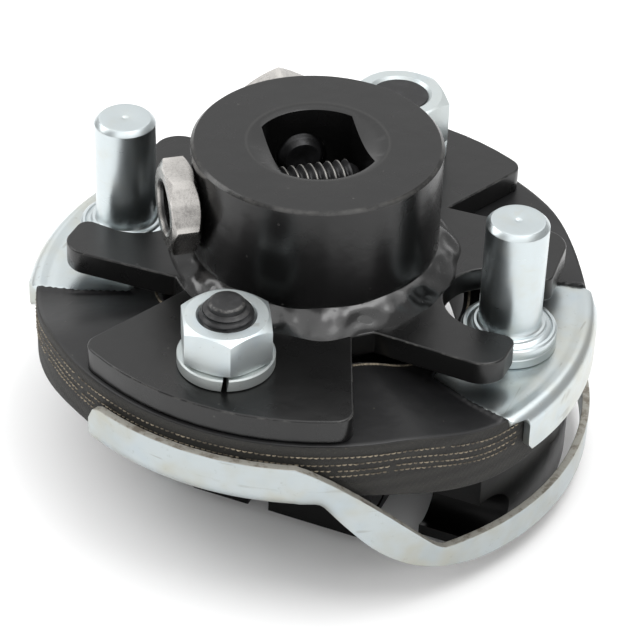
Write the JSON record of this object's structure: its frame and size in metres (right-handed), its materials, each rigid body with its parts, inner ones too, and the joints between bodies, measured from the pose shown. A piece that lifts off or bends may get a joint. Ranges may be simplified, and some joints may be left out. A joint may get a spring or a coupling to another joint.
{
  "type": "steering-column flexible disc coupler",
  "caption": "Flexible disc coupler: a welded upper hub on bolt pads and a lower clamp flange with stop pins, joined by a stitched rubber disc and caught by a looped strap",
  "frame": {"origin": "on the shaft axis, at the mouth of the lower bore, on which the coupler rests", "axes": "+Z along the shaft axis to the upper hub, +X through the right-hand stop pin and the strap's loop, Y through the two pad bolts"},
  "size_m": [0.0891, 0.0894, 0.054],
  "materials": {
    "black_paint": "satin",
    "black_oxide": "satin",
    "plain_steel": "machined",
    "disc_rubber": "matt, with sewn edge",
    "zinc": "bright zinc plate",
    "turned_zinc": "turned, zinc plated"
  },
  "bodies": {
    "lower_half": {"lower_flange": "black_paint", "pinch_bolt": "black_oxide", "pinch_washer": "zinc", "stop_pin_left": "turned_zinc", "stop_pin_right": "turned_zinc", "pin_clip_left": "zinc", "pin_clip_right": "zinc"},
    "disc": {"flex_disc": "disc_rubber"},
    "upper_half": {"upper_hub": "black_paint", "upper_flange": "black_paint", "weld_bead": "black_paint", "set_screw_side": "black_oxide", "set_screw_rear": "black_oxide", "jam_nut_side": "plain_steel", "jam_nut_rear": "plain_steel", "pad_bolt_front": "black_oxide", "pad_bolt_rear": "black_oxide", "hex_nut_front": "zinc", "hex_nut_rear": "zinc", "lock_washer_front": "zinc", "lock_washer_rear": "zinc", "retainer_strap": "zinc"}
  },
  "joints": [
    {"name": "disc_bend_pins", "type": "hinge", "parent": "lower_half", "child": "disc", "pos_m": [0, 0, 0.0235], "axis": [1, 0, 0], "range_deg": [-3, 3], "stiffness_Nm_per_rad": 20, "deforming": ["flex_disc"]},
    {"name": "disc_bend_bolts", "type": "hinge", "parent": "disc", "child": "upper_half", "pos_m": [0, 0, 0.0235], "axis": [0, 1, 0], "range_deg": [-3, 3], "stiffness_Nm_per_rad": 20, "deforming": ["flex_disc"]}
  ]
}
